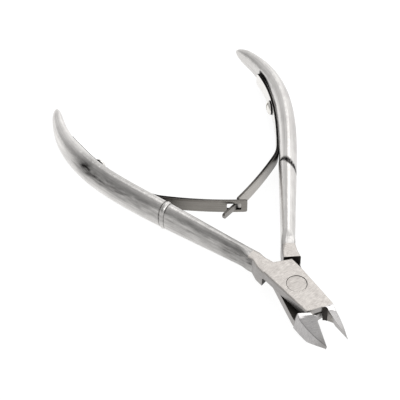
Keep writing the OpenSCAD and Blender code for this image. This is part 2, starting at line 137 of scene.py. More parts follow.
# Rows of rings made one closed skin: quads between rows and a fan to a pole at each end, with a UV map
# of millimetres along the rows and round the ring. Faces are turned outwards by the sign of the volume.
def skin(name, rings, slots, faceSlot=None, paintedShadeAndTone=None):
    rows, count = rings.shape[:2]
    points = np.concatenate([rings.reshape(-1, 3), rings[:1].mean(1), rings[-1:].mean(1)])
    i, k = np.meshgrid(np.arange(rows - 1), np.arange(count), indexing="ij")
    a, b = i * count + k, i * count + (k + 1) % count
    quads = np.stack([a, b, b + count, a + count], -1).reshape(-1, 4)
    edge, pole = np.arange(count), np.full(count, rows * count)
    after, last = (edge + 1) % count, (rows - 1) * count
    fans = np.concatenate([np.stack([after, edge, pole], 1), np.stack([last + edge, last + after, pole + 1], 1)])
    along = np.concatenate([[0], np.cumsum(np.linalg.norm(np.diff(rings.mean(1), axis=0), axis=1))])
    rim = np.linalg.norm(np.diff(rings, axis=1, append=rings[:, :1]), axis=2).max(0)
    around = np.concatenate([[0], np.cumsum(rim)])
    quadUv = np.stack([np.stack([along[i], around[k]], -1), np.stack([along[i], around[k + 1]], -1),
                       np.stack([along[i + 1], around[k + 1]], -1), np.stack([along[i + 1], around[k]], -1)], 2)
    fanUv = np.concatenate([np.stack([np.full(3 * count, at), np.repeat(around[:-1], 3)], 1)
                            for at in (0, along[-1])])
    uv = np.concatenate([quadUv.reshape(-1, 2), fanUv])
    corner = [points[quads[:, j]] for j in range(4)]
    volume = sum(np.einsum("ij,ij->i", corner[0], np.cross(corner[p], corner[q])).sum()
                 for p, q in ((1, 2), (2, 3)))
    if volume < 0:
        quads, fans = quads[:, ::-1], fans[:, ::-1]
        uv = np.concatenate([quadUv.reshape(-1, 4, 2)[:, ::-1].reshape(-1, 2),
                             fanUv.reshape(-1, 3, 2)[:, ::-1].reshape(-1, 2)])
    mesh = bpy.data.meshes.new(name)
    mesh.from_pydata((points * mm).tolist(), [], quads.tolist() + fans.tolist())
    mesh.uv_layers.new(name="surface").data.foreach_set("uv", uv.astype(np.float32).ravel())
    if paintedShadeAndTone is not None:
        values = np.concatenate([paintedShadeAndTone.reshape(-1), [paintedShadeAndTone[0].mean(), paintedShadeAndTone[-1].mean()]])
        field = mesh.attributes.new("paintedShadeAndTone", "FLOAT", "POINT")
        field.data.foreach_set("value", values.astype(np.float32))
    for slot in slots:
        mesh.materials.append(slot)
    if faceSlot is not None:
        poles = faceSlot(np.array([0, rows - 2]), np.array([0, 0]))
        chosen = np.concatenate([faceSlot(i, k).reshape(-1), np.repeat(poles, count)])
        mesh.polygons.foreach_set("material_index", chosen.astype(np.int32))
    piece = bpy.data.objects.new(name, mesh)
    bpy.context.collection.objects.link(piece)
    return piece


# Profile of (radius, height) pairs turned once about an axis: point + radius * circle + height * axis
def turned(name, profile, origin, axis, slots, steps=64, faceSlot=None):
    axis = np.asarray(axis, float) / np.linalg.norm(axis)
    sideways = np.cross(axis, (0, 0, 1) if abs(axis[2]) < 0.9 else (1, 0, 0))
    sideways /= np.linalg.norm(sideways)
    other = np.cross(axis, sideways)
    angle = np.linspace(0, 2 * np.pi, steps, endpoint=False)
    circle = np.cos(angle)[:, None] * sideways + np.sin(angle)[:, None] * other
    profile = np.asarray(profile, float)
    rings = np.asarray(origin, float) + profile[:, :1, None] * circle + profile[:, 1:, None] * axis
    return skin(name, rings, slots, faceSlot)


# live modifiers made the mesh itself, so that the piece is final
def settle(piece):
    depsgraph = bpy.context.evaluated_depsgraph_get()
    mesh = bpy.data.meshes.new_from_object(piece.evaluated_get(depsgraph))
    piece.modifiers.clear()
    piece.data = mesh


# the piece less the cutters, which are then thrown away
def cutBy(piece, *cutters):
    for cutter in cutters:
        piece.modifiers.new("cut", "BOOLEAN").object = cutter
    settle(piece)
    for cutter in cutters:
        bpy.data.objects.remove(cutter)


# smooth faces with the folds over an angle kept crisp, and normals that follow the large faces
def finishShading(piece, fold=30):
    piece.data.shade_smooth()
    piece.data.set_sharp_from_angle(angle=math.radians(fold))
    piece.modifiers.new("normals", "WEIGHTED_NORMAL").keep_sharp = True


# an empty node material and its tree
def newMaterial(name):
    material = bpy.data.materials.new(name)
    material.use_nodes = True
    material.node_tree.nodes.clear()
    return material, material.node_tree


# what all the steels share: the span of the noise that gives the tone, the share of the patches in it, the strength of
# the relief, and in millimetres the waves of hand grinding and the smears that break up the painted shade
steel = {"span": (0.45, 0.9), "patchShare": 0.35, "reliefStrength": 0.25, "wave": 1.6,
         "smear": (4, 1.2), "smearSpan": (0.3, 0.7), "smearShare": (1.35, 0.65)}


# A steel finish: streaks along one direction of the UV map vary roughness, tone and relief, with patches over them.
# streak is (spacing across, length along) in millimetres of the grinding or drawing lines. The real lines lie
# under 0.1 mm apart, too fine to show here, so they are drawn as coarse as they need to show.
def steelFinish(name, color, worn, roughness, spread, streak, relief, across=False, blotch=7.0, along=(),
                paintedShadeColor=None, planar=False, uneven=0.0):
    material, tree = newMaterial(name)
    low, high = steel["span"]
    spacing, length = streak
    scale = np.array((1 / spacing, 1 / length, 1) if across else (1 / length, 1 / spacing, 1)) / (mm if planar else 1)
    coords = addNode(tree, "ShaderNodeTexCoord")
    lines = addNode(tree, "ShaderNodeMapping", values={"Scale": scale.tolist()},
                    feeds={"Vector": (coords, "Object" if planar else "UV")})
    grain = addNode(tree, "ShaderNodeTexNoise", values={"Scale": 1.0, "Detail": 3.0, "Roughness": 0.6},
                    feeds={"Vector": (lines, "Vector")})
    patches = addNode(tree, "ShaderNodeTexNoise", values={"Scale": 1 / (blotch * mm), "Detail": 3.0},
                      feeds={"Vector": (coords, "Object")})
    both = addNode(tree, "ShaderNodeMath", {"operation": "MULTIPLY_ADD"}, {1: steel["patchShare"]},
                   {0: (patches, "Fac"), 2: (grain, "Fac")})
    tone = addNode(tree, "ShaderNodeMapRange", values={"From Min": low, "From Max": high},
                   feeds={"Value": (both, "Value")})
    paint = addNode(tree, "ShaderNodeMix", {"data_type": "RGBA"}, {6: hexColor(worn), 7: hexColor(color)},
                    {"Factor": (tone, "Result")})
    rough = addNode(tree, "ShaderNodeMapRange", values={"From Min": low, "From Max": high,
                                                        "To Min": roughness + spread, "To Max": roughness - spread},
                    feeds={"Value": (both, "Value")})
    bump = addNode(tree, "ShaderNodeBump", values={"Strength": steel["reliefStrength"], "Distance": relief * mm},
                   feeds={"Height": (grain, "Fac")})
    if uneven:  # hand grinding leaves the forging wavy
        hills = addNode(tree, "ShaderNodeTexNoise", values={"Scale": 1 / (steel["wave"] * mm), "Detail": 2.0},
                        feeds={"Vector": (coords, "Object")})
        bump = addNode(tree, "ShaderNodeBump", values={"Distance": uneven * mm},
                       feeds={"Height": (hills, "Fac"), "Normal": (bump, "Normal")})
    shader = addNode(tree, "ShaderNodeBsdfPrincipled", values={"Metallic": 1.0},
                     feeds={"Roughness": (rough, "Result"), "Normal": (bump, "Normal")})
    shades = []
    if paintedShadeColor:  # painted shade, as far as the mesh's own field says, broken into smears along the piece
        (smearLong, smearWide), (least, most) = steel["smear"], steel["smearSpan"]
        field = addNode(tree, "ShaderNodeAttribute", {"attribute_name": "paintedShadeAndTone"})
        wiped = addNode(tree, "ShaderNodeMapping", values={"Scale": (1 / smearLong, 1 / smearWide, 1)},
                        feeds={"Vector": (coords, "UV")})
        smears = addNode(tree, "ShaderNodeTexNoise", values={"Scale": 1.0, "Detail": 4.0, "Roughness": 0.65},
                         feeds={"Vector": (wiped, "Vector")})
        mostShaded, leastShaded = steel["smearShare"]
        spared = addNode(tree, "ShaderNodeMapRange", values={"From Min": least, "From Max": most,
                                                             "To Min": mostShaded, "To Max": leastShaded},
                         feeds={"Value": (smears, "Fac")})
        share = addNode(tree, "ShaderNodeMath", {"operation": "MULTIPLY"},
                        feeds={0: (field, "Fac"), 1: (spared, "Result")})
        shades.append((paintedShadeColor, share, "Value"))
    place = addNode(tree, "ShaderNodeSeparateXYZ", feeds={"Vector": (coords, "UV")}) if along else None
    for start, stop, strength, shade in along:  # a shade that comes in between two places along the piece
        share = addNode(tree, "ShaderNodeMapRange", {"interpolation_type": "SMOOTHSTEP"},
                        {"From Min": start, "From Max": stop, "To Max": strength}, {"Value": (place, "X")})
        shades.append((shade, share, "Result"))
    for shade, share, output in shades:
        paint = addNode(tree, "ShaderNodeMix", {"data_type": "RGBA"}, {7: hexColor(shade)},
                        {"Factor": (share, output), 6: (paint, 2)})
    tree.links.new(paint.outputs[2], shader.inputs["Base Color"])
    addNode(tree, "ShaderNodeOutputMaterial", feeds={"Surface": (shader, "BSDF")})
    return material


# forged stainless, buffed lengthwise: satin with a soft gleam and fine lines, with painted shade in the grooves and a
# painted dark reflection along the outer flank
buffedSteel = steelFinish("buffedForgedStainless", "efedea", "c8c5c3", 0.34, 0.07, (0.3, 22), 0.014,
                          blotch=4.0, paintedShadeColor="211f1e", uneven=0.11)
# stainless ground flat on a belt: pale, nearly matt, faint lines across the joint
groundSteel = steelFinish("beltGroundStainless", "d3cec9", "aea9a5", 0.44, 0.04, (0.16, 1.4), 0.008,
                          across=True, blotch=0.9)
# jaw facets ground on a finer wheel: satin with short lines, darker over the last millimetres toward the tips
honedSteel = steelFinish("wheelGroundJawStainless", "bfbdbc", "a3a1a1", 0.26, 0.04, (0.25, 3), 0.008,
                         across=True, along=((103, 107, 0.5, "6f6c69"),))
# lap faces inside the joint: oiled and stained, nearly black, which also paints the shade where the lap shows in the
# recess; the same steel is painted shade high in the upper throat, along the foot of the plate's front and in the lower
# jaw's crease
lapAndShadeSteel = steelFinish("oiledLapStainlessAndPaintedShade", "3b3835", "272422", 0.5, 0.08, (0.4, 6), 0.01, across=True)
# milled side walls, not polished after: greyer than the plate
milledSteel = steelFinish("milledWallStainless", "aeaba9", "928f8d", 0.4, 0.05, (0.2, 5), 0.008)
# throat behind the cutting edges: painted shade, mid grey and uneven
throatShadeSteel = steelFinish("throatPaintedShadeStainless", "a8a4a0", "7c7874", 0.45, 0.08, (0.5, 1.2), 0.02, blotch=1.5)
# cold rolled spring strip, brushed lengthwise, with painted reflection: a painted highlight where it is seated, painted
# black in the bend, and on the tongued strip painted greyer toward the crossing; the slotted strip is painted darker
# all over than the tongued one
paintedDarkBend, paintedBrightSeat, paintedGreyCrossing = (41, 28.5, 0.85, "171615"), (28.5, 25, 1.0, "efedea"), (46.5, 49.5, 0.8, "7d7a77")
slottedStripPaintedReflection = steelFinish("brushedSlottedSpringStripPaintedReflection", "8c8984", "7b7772", 0.3, 0.07, (0.3, 16), 0.008,
                           along=(paintedDarkBend, paintedBrightSeat))
tonguedStripPaintedReflection = steelFinish("brushedTonguedSpringStripPaintedReflection", "b4b0ab", "a39f9a", 0.3, 0.07, (0.3, 16), 0.008,
                           along=(paintedDarkBend, paintedBrightSeat, paintedGreyCrossing))
# sheared edge of that strip: dull, with a painted shadow that is black from the bend to its seated end
paintedEdgeShadow = (45, 34, 0.97, "171615")
edgeAndShadowSteel = steelFinish("shearedSpringEdgePaintedShadow", "6e6b67", "55524f", 0.48, 0.06, (0.3, 3), 0.01, along=(paintedEdgeShadow,))
# the same edge with a painted highlight where the slotted strip is seated
seatedEdgePaintedHighlight = steelFinish("springEdgePaintedHighlight", "6e6b67", "55524f", 0.4, 0.06, (0.3, 3), 0.01,
                         along=(paintedEdgeShadow, paintedBrightSeat))
# turned and polished screw steel: bright with faint lathe rings
screwSteel = steelFinish("polishedScrewSteel", "f4f2ee", "d9d6d1", 0.15, 0.04, (0.2, 8), 0.004, across=True)
# rivet ground off level with the joint: as the plate, its lines another way
rivetSteel = steelFinish("groundRivetSteel", "c8c3be", "a6a19d", 0.42, 0.04, (0.16, 1.4), 0.008,
                         blotch=0.9, planar=True)
print("materials ready")

# sizes are in millimetres and degrees; a place along a handle is t, 0 at the root, 1 at the shank's end, 2 at the tip
grip = {"root": (4.6, 12.26), "splay": 28.6, "shank": 28.75, "bowOut": 19.65, "bowIn": 15.35,
        "tip": (25.95, 78.8), "tipTurn": 16.8, "tipRound": 0.1, "tipLean": 0.5, "slimFrom": 1.74, "slimShare": 0.22,
        "halfWidth": (1.66, 1.9, 2.4, 2.75, 1.4), "halfHeight": (3.02, 3.2, 4.3, 4.7, 1.8),
        "power": 2.3, "radiusShare": 0.85, "rootStart": -0.03, "blockRun": 0.12,
        "seatFrom": 0.95, "seatRun": 0.05, "seatShare": 0.92, "seatHollow": 0.5, "hollowClose": 0.18, "flatEnd": 1.735,
        "upperRing": 24.5, "lowerRing": 24.3, "ringSpan": (-2.9, 2.3),
        "ringHalf": 0.85, "beadShare": 0.6, "ringBead": 0.22, "ringGroove": 0.22,
        "sawnGroove": 0.28, "sawnHalf": (1.3125, -0.3675, -0.735), "sawnPlace": (0.35, 1.9, -0.3)}
spring = {"thick": 0.7, "wide": 3.8, "height": 1.8, "leave": 1.065, "end": 1.72, "bendRadius": 9.0, "bendTurn": 26.3,
          "bowRadius": 95.0, "slotPast": 2.8, "tonguePast": 4.6, "slotLength": 4.1, "slotShort": 0.65,
          "slotWidth": 2.1, "slotCorner": 0.25, "tongueWidth": 1.6, "tongueBack": 0.85, "tongueStep": 0.3,
          "tongueTip": 0.35, "endRound": 0.8, "tipRound": 0.6, "filedShare": 0.7, "filedRun": 5,
          "slottedCorner": 0.15, "tonguedCorner": 0.1, "screwAt": 1.4}
joint = {"height": 4.8, "upperOpen": 10.5, "lowerOpen": 6.5, "lapGap": 0.08, "soft": 0.42, "crisp": 0.12,
         "blockRadii": (1.1, 0.45, 0.4, 0.3), "inner": 0.2, "upperEdge": 2.95, "lowerEdge": 3.71,
         "steps": (4, 6, 1, 2, 10, 6, 14, 8, 2)}
middle = joint["height"] / 2
splay, tipTurn = math.radians(grip["splay"]), math.radians(grip["tipTurn"])
shankDir = np.array([math.sin(splay), math.cos(splay)])
tipDir = np.array([-math.sin(tipTurn), math.cos(tipTurn)])
shankTop = np.array(grip["root"]) + grip["shank"] * shankDir
gripTip = np.array(grip["tip"])
bow = np.array([shankTop, shankTop + grip["bowOut"] * shankDir, gripTip - grip["bowIn"] * tipDir, gripTip])


# Middle line of the handle at +X: straight for t under 1, then a cubic Bezier to the tip at 2
def gripCentre(t):
    straight = np.array(grip["root"]) + t[:, None] * grip["shank"] * shankDir
    return np.where(t[:, None] < 1, straight, shaped(bow, np.maximum(t - 1, 0)))


# its direction: the shank's own, then the Bezier's derivative, both of length 1
def gripHeading(t):
    d = np.where(t[:, None] < 1, shankDir, shaped(np.diff(bow, axis=0), np.maximum(t - 1, 0)))
    return d / np.linalg.norm(d, axis=1)[:, None]


# that direction turned a quarter toward the other handle
def gripInward(t):
    d = gripHeading(t)
    return np.stack([-d[:, 1], d[:, 0]], 1)


# half width and height from five control values, which fall on a quarter ellipse over the round of the tip
def gripHalf(values, t):
    return shaped(values, t / 2) * rounded((t - (2 - grip["tipRound"])) / grip["tipRound"])


# middle line to the spring's flat: the half width, less a share that comes in on a ramp
def seatDepth(t):
    ramp = clamp((t - grip["seatFrom"]) / grip["seatRun"])
    return gripHalf(grip["halfWidth"], t) * (1 - (1 - grip["seatShare"]) * ramp)


# bead between two grooves: a cosine bead inside a share of the half length, a half sine groove outside it
def ringRise(d):
    k, share = np.abs(d) / grip["ringHalf"], grip["beadShare"]
    groove = -grip["ringGroove"] * np.sin(np.pi * (k - share) / (1 - share))
    bead = grip["ringBead"] * np.cos(np.pi / 2 * k / share)
    return np.where(k > 1, 0, np.where(k > share, groove, bead))


# sawn groove of the lower handle: a cosine groove that runs askew, its half width and its place each a constant,
# a straight and a square part of the share across
def sawnRise(d, across):
    half, place = (a + b * across + c * across ** 2 for a, b, c in (grip["sawnHalf"], grip["sawnPlace"]))
    return -grip["sawnGroove"] * np.cos(np.pi / 2 * clamp(np.abs(d - place) / half)) ** 2


# how dark the handles are painted, from 0 to about 1, where, and how far it reaches: a painted dark reflection along
# the flank and in a spot, painted shade in the grooves, behind the strip and before the plate, an easing into the tone
# of the block and a darker inner tip; a pair of lists is places along and the values there
paintedHandleShadeAndTone = {"paintedFlankBand": ((0.0, 0.1, 0.3, 0.9, 1.15, 1.33, 1.385, 1.43, 1.52, 1.7),
                    (0.62, 0.72, 0.55, 0.5, 0.68, 0.77, 0.84, 0.8, 0.3, 0.0)), "lowerShare": 0.4,
        "flankAt": 0.54, "below": ((0.05, 0.4, 0.9, 1.25), (1.8, 1.1, 1.0, 0.6)),
        "upperAbove": ((0.5, 0.85), (0.7, 0.48)), "lowerAbove": 0.6, "over": ((0.3, 0.8), (1.3, 0.85)),
        "upperGroove": 0.8, "lowerGroove": 1.3, "stripShade": 1.2, "blockWall": 0.4, "blockTop": 0.2,
        "innerTip": 0.1, "innerFrom": 1.45, "rootShade": 0.45, "rootShadeAt": -0.01, "rootShadeRun": 0.08,
        "spot": 1.1, "spotAt": (1.388, 0.72), "spotRun": (0.075, 0.27)}


# Painted darkening of each point of a handle, with the block's own tone: the greatest of several marks, each a product
# of bells and ramps along the handle (t), across it (1 inside) and upward (1 on top)
def paintedShadeAndToneRows(isUpper, t, across, upward, block, behind, rise):
    along = t[:, None]
    below = np.interp(along, *paintedHandleShadeAndTone["below"])  # the painted reflection band reaches further round on the shank than on the bow
    above = np.interp(along, *paintedHandleShadeAndTone["upperAbove"]) if isUpper else paintedHandleShadeAndTone["lowerAbove"]
    flank = bell(upward, paintedHandleShadeAndTone["flankAt"], np.where(upward > paintedHandleShadeAndTone["flankAt"], above, below))
    flank = flank * clamp(np.interp(along, *paintedHandleShadeAndTone["over"]) - across if isUpper else -across * 2.5)
    # painted dark reflection along the outer flank
    paintedFlankBand = np.interp(along, *paintedHandleShadeAndTone["paintedFlankBand"]) * flank
    # painted shade in the ring's grooves and the sawn groove
    groove = clamp(-rise / grip["ringGroove"] * paintedHandleShadeAndTone["upperGroove" if isUpper else "lowerGroove"])
    isWall = np.abs(across) > 0.8
    eases = block[:, None] ** 2 * np.where(isWall, paintedHandleShadeAndTone["blockWall"], paintedHandleShadeAndTone["blockTop"])  # into the tone of the block
    marks = [groove, eases, behind * paintedHandleShadeAndTone["stripShade"]]
    if isUpper:
        root = bell(along, paintedHandleShadeAndTone["rootShadeAt"], paintedHandleShadeAndTone["rootShadeRun"]) * clamp((0.75 - across) * 3)
        rootShade = root * paintedHandleShadeAndTone["rootShade"] * (1 + bell(upward, 0.5, 0.5))  # painted shade before the plate
        # painted reflection: a dark spot on the upper handle's flank
        (spotT, spotUp), (runT, runUp) = paintedHandleShadeAndTone["spotAt"], paintedHandleShadeAndTone["spotRun"]
        spot = paintedHandleShadeAndTone["spot"] * bell(along, spotT, runT) * bell(upward, spotUp, runUp) * clamp((0.5 - across) * 3)
        marks += [paintedFlankBand, rootShade, spot]
    else:
        # darker on the inner side toward the lower handle's tip
        darkerInnerTip = clamp((across - 0.45) * 2.2) * clamp((along - paintedHandleShadeAndTone["innerFrom"]) / 0.2) * paintedHandleShadeAndTone["innerTip"]
        marks += [paintedFlankBand * paintedHandleShadeAndTone["lowerShare"], darkerInnerTip]
    return np.maximum.reduce(marks)


# Handle rows from the tip to the root, with the root at -X: corners of the section's frame across the middle
# line, a superellipse inside them, cut flat on the inner side for the spring and hollowed behind its end.
# The first rows lean inwards to a slim tip, the last ones square up into the joint's block.
def handleRows(isUpper):
    ringAt = (grip["upperRing"] if isUpper else grip["lowerRing"]) / grip["shank"]
    fine = np.linspace(*grip["ringSpan"], 84) / grip["shank"] + ringAt
    ends = 2 - grip["tipRound"] * (1 - np.sin(np.linspace(0.0, np.pi / 2, 14)))
    t = np.unique(np.concatenate([np.linspace(grip["rootStart"], fine[0], 34), fine, np.linspace(fine[-1], 1.04, 12),
                                  np.linspace(1.04, spring["end"], 46), spring["end"] + np.array([0.001, 0.006]),
                                  np.linspace(grip["flatEnd"], ends[0], 12), ends[:-1], [1.9995]]))[::-1]
    wide, high = gripHalf(grip["halfWidth"], t), gripHalf(grip["halfHeight"], t)
    slim = clamp((t - grip["slimFrom"]) / (2 - grip["slimFrom"]))
    wide = wide * (1 - grip["slimShare"] * slim)
    block = eased((grip["blockRun"] - t) / grip["blockRun"])
    high = high * (1 - block) + middle * block
    hollow = grip["seatHollow"] * clamp((t - spring["screwAt"]) / (spring["end"] - spring["screwAt"])) ** 2
    hollow = hollow * rounded(1 - (spring["end"] + 0.002 - t) / grip["hollowClose"])  # closes just past the strip
    flip = np.array([-1, 1])
    centre, inward = gripCentre(t) * flip, gripInward(t) * flip
    centre = centre + (grip["tipLean"] * slim * slim)[:, None] * inward
    right, left = centre + wide[:, None] * inward, centre - wide[:, None] * inward
    lift = np.stack([middle + high, middle + high, middle - high, middle - high], 1)
    corners = np.concatenate([np.stack([right, left, left, right], 1), lift[..., None]], 2)
    radii = grip["radiusShare"] * np.minimum(wide, high)[:, None] * (1 - block)[:, None]
    radii = radii + np.array(joint["blockRadii"]) * block[:, None]
    limit = np.where(t > grip["flatEnd"], 1, (seatDepth(t) - hollow) / gripHalf(grip["halfWidth"], t))
    rings = sectionRows(corners, radii, 1 - block, grip["power"], limit)
    away = rings - np.concatenate([centre, np.full((len(t), 1), middle)], 1)[:, None]
    across = np.einsum("ikj,ij->ik", away[..., :2], inward) / wide[:, None]
    place = np.broadcast_to(((t - ringAt) * grip["shank"])[:, None], across.shape)
    rise = ringRise(place) if isUpper else sawnRise(place, across)
    rise = np.where(t[:, None] < 0.99, rise, 0)  # both cuts lie on the shank
    behind = (across > limit[:, None] - 0.03) * clamp(hollow[:, None] / 0.2)  # painted shade on the floor of the hollow
    paintedShadeAndTone = paintedShadeAndToneRows(isUpper, t, across, away[..., 2] / high[:, None], block, behind, rise)
    rings = rings + away / np.linalg.norm(away, axis=2)[..., None] * rise[..., None]
    return rings, paintedShadeAndTone, right[-1], left[-1]


# turns rows about the pivot by an opening angle
def opened(corners, degrees):
    c, s = math.cos(math.radians(degrees)), math.sin(math.radians(degrees))
    x, y, z = np.moveaxis(corners, -1, 0)
    return np.stack([c * x - s * y, s * x + c * y, z], -1)


# Joint rows of a closed head, root at -X: left and right ends of each row, then its lowest and highest z
# and its corner radii. The lap takes half of the thickness between the two shoulders.
def jointRows(isUpper, rootRight, rootLeft):
    full, gap, inner = joint["height"], joint["lapGap"] / 2, joint["inner"]
    low, high = (middle + gap, full) if isUpper else (0, middle - gap)
    edge = joint["upperEdge"] if isUpper else joint["lowerEdge"]
    back = 0 if isUpper else (edge - inner) * jaw["shoulderLean"]
    soft, crisp = joint["soft"], joint["crisp"]
    table = [
        (*rootLeft, *rootRight, 0, full, *joint["blockRadii"]),
        (-4.09, 9.40, -0.62, 10.40, 0, full, 0.5, soft, crisp, crisp),
        (-4.10, 7.26, -0.20, 8.31, 0, full, crisp, soft, crisp, crisp),
        (-4.08, 7.20, -0.20, 8.22, low, high, crisp, soft, crisp, crisp),
        (-3.90, 6.98, -0.20, 8.10, low, high, crisp, soft, crisp, crisp),
        (-3.85, 6.30, 3.85, 6.30, low, high, crisp, soft, crisp, crisp),
        (-3.77, 3.15, 3.85, 3.15, low, high, crisp, soft, crisp, crisp),
        (-3.50, -7.50, edge + 0.08, -7.50 + back, low, high, crisp, soft, crisp, crisp),
        (inner, -8.50, edge, -8.50 + back, low, high, crisp, crisp, crisp, crisp),
        (inner, -8.73, edge, -8.73 + back, low, high, crisp, crisp, crisp, crisp)]
    rows = between(table, joint["steps"])
    left, right = rows[:, 0:2], rows[:, 2:4]
    plan = np.stack([right, left, left, right], 1)
    lift = rows[:, [5, 5, 4, 4]]
    return np.concatenate([plan, lift[..., None]], 2), rows[:, 6:10]


# From and Run name where a change sets in, down the jaw, and over what length
jaw = {"reach": 17.5, "half": 3.3, "start": -8.5, "round": 29.0, "lean": 9.0, "tipHeight": 3.0, "leastWidth": 0.05,
       "facetHeight": 4.25, "facetFall": 10.0, "bevelStart": -8.8, "bevelLean": 0.3, "bevelRun": 0.55, "bevelFall": 0.6,
       "shoulderLean": 0.25, "slantFrom": 8.7, "slantRun": 0.1, "straightAt": 16.5, "straightRun": 5.5,
       "bellyHeight": 2.2, "bellyStart": 11.0, "bellyFall": 15.0,
       "undercut": 14.0, "undercutFrom": 9.4, "undercutRun": 1.4, "edge": 0.08, "edgeGrowth": (0.1, -0.05, 0.02, 0.12),
       "edgeFrom": 8.7, "edgeRun": 1.5, "edgeEnd": 17.9, "edgeFade": 2.0,
       "throatEnd": 11, "throatShadeEnd": 9.5, "creaseAt": 9.3, "creaseHalf": 0.11, "shoulderEnd": 9.2}
throat = [(0.2, -8.5), (1.0, -9.1), (1.18, -9.5), (1.1, -10.2), (0.75, -12.0), (0.04, -17.5)]
beak = [(0.2, -8.5), (-0.85, -9.8), (-0.95, -10.1), (-0.51, -11.1), (0.04, -17.5)]


# Jaw rows of a closed head toward the tip: the inner side follows an outline, the outer side an arc that leans
# outwards below, the top is the higher of a bevel plane and a facet plane, the underside a rising plane.
# Rows start slanted along the bevel, when that leans, and straighten toward the tip.
def jawRows(inner, lean):
    y = np.concatenate([[-8.76, -8.8], np.linspace(-8.9, -9.6, 9), np.linspace(-9.7, -11.2, 16),
                        np.linspace(-11.4, -17.2, 30), [-17.4, -17.5]])
    outline = np.array(inner)[::-1]
    inside = np.interp(y, outline[:, 1], outline[:, 0])
    chord = np.array([jaw["half"], jaw["start"] + jaw["reach"]])
    away = np.array([chord[1], -chord[0]]) / np.linalg.norm(chord)
    sag = math.sqrt(jaw["round"] ** 2 - (chord @ chord) / 4)
    hub = np.array([jaw["half"], jaw["start"] - jaw["reach"]]) / 2 - sag * away
    slant = lean * clamp((jaw["straightAt"] + y) / jaw["straightRun"])
    if lean > 0:
        slant = slant * clamp((-y - jaw["slantFrom"]) / jaw["slantRun"])
    outerY = y - slant * (hub[0] + np.sqrt(jaw["round"] ** 2 - (y - hub[1]) ** 2) - inside)
    outer = hub[0] + np.sqrt(jaw["round"] ** 2 - (outerY - hub[1]) ** 2)
    outward = math.tan(math.radians(jaw["lean"])) / away[0]
    facetY = jaw["bevelStart"] - jaw["bevelRun"]
    slope = (jaw["facetHeight"] - jaw["tipHeight"]) / (jaw["reach"] + facetY)
    fall, drop = math.radians(jaw["facetFall"]), math.radians(jaw["bellyFall"])
    rise = jaw["bellyHeight"] / (jaw["reach"] - jaw["bellyStart"])

    # the bevel falls from the plate's front, which leans; the facet falls toward the tip and outwards
    def topAt(x, at):
        past = at - jaw["bevelStart"] + lean * (x - joint["inner"])
        bevel = joint["height"] + jaw["bevelFall"] / jaw["bevelRun"] * past
        facet = (jaw["facetHeight"] + slope * (at - facetY)) / math.cos(fall) - x * math.tan(fall)
        return np.minimum(joint["height"], np.maximum(bevel, facet))

    # flat at 0, then a plane that rises toward the tip and falls outwards
    def underAt(x, at):
        return np.maximum(0, rise * (-at - jaw["bellyStart"]) / math.cos(drop) - x * math.tan(drop))

    outTop = np.maximum(outer + (jaw["tipHeight"] - topAt(outer, outerY)) * outward, inside + jaw["leastWidth"])
    topRight, topLeft = topAt(outTop, outerY), topAt(inside, y)
    under = clamp((-y - jaw["undercutFrom"]) / jaw["undercutRun"]) * math.tan(math.radians(jaw["undercut"]))
    lowLeft, lowRight = underAt(inside, y), underAt(outer, outerY)
    inLow = inside + under * (topLeft - lowLeft)
    outLow = np.maximum(outer + (jaw["tipHeight"] - lowRight) * outward, inLow + jaw["leastWidth"])
    plan = np.stack([np.stack([outTop, inside, inLow, outLow], 1), np.stack([outerY, y, y, outerY], 1)], 2)
    lift = np.stack([topRight, topLeft, lowLeft, lowRight], 1)
    grown = clamp((-y - jaw["edgeFrom"]) / jaw["edgeRun"])[:, None]
    radii = jaw["edge"] + grown * np.array(jaw["edgeGrowth"])
    fade = clamp((jaw["edgeEnd"] + y) / jaw["edgeFade"])[:, None]
    return np.concatenate([plan, lift[..., None]], 2), radii * fade, y


rivet = {"headDiameter": 4.6, "headHeight": 1.0, "diameter": 3.4, "break": 0.06, "sunk": 0.02, "innerRing": 0.3,
         "fit": 0.05, "boreAt": (0.046, 0.016, 0), "boreBreak": 0.05, "footBreak": 0.12}
screw = {"diameter": 1.8, "deep": 2.4, "tipBreak": 0.2, "innerRing": 0.4, "fit": 0.1, "tapFit": 0.02,
         "headDiameter": 3.7, "headHeight": 1.15, "headBreak": 0.1, "rimHeight": 0.25, "domePower": 0.7, "lift": 0.04,
         "driverWidth": 0.5, "driverDeep": 0.4, "driverCorner": 0.03}


# place of a spring screw: a point on the seat and the direction away from the handle
def screwPlace(mirror, depth):
    t = np.array([spring["screwAt"]])
    flip = np.array([mirror, 1])
    foot = (gripCentre(t) + (seatDepth(t) + depth)[:, None] * gripInward(t))[0] * flip
    return np.array([*foot, spring["height"]]), np.array([*(gripInward(t)[0] * flip), 0])


leverFinishes = (buffedSteel, groundSteel, honedSteel, lapAndShadeSteel, milledSteel, throatShadeSteel)
buffed, ground, honed, lapAndShade, milled, throatShade = range(len(leverFinishes))


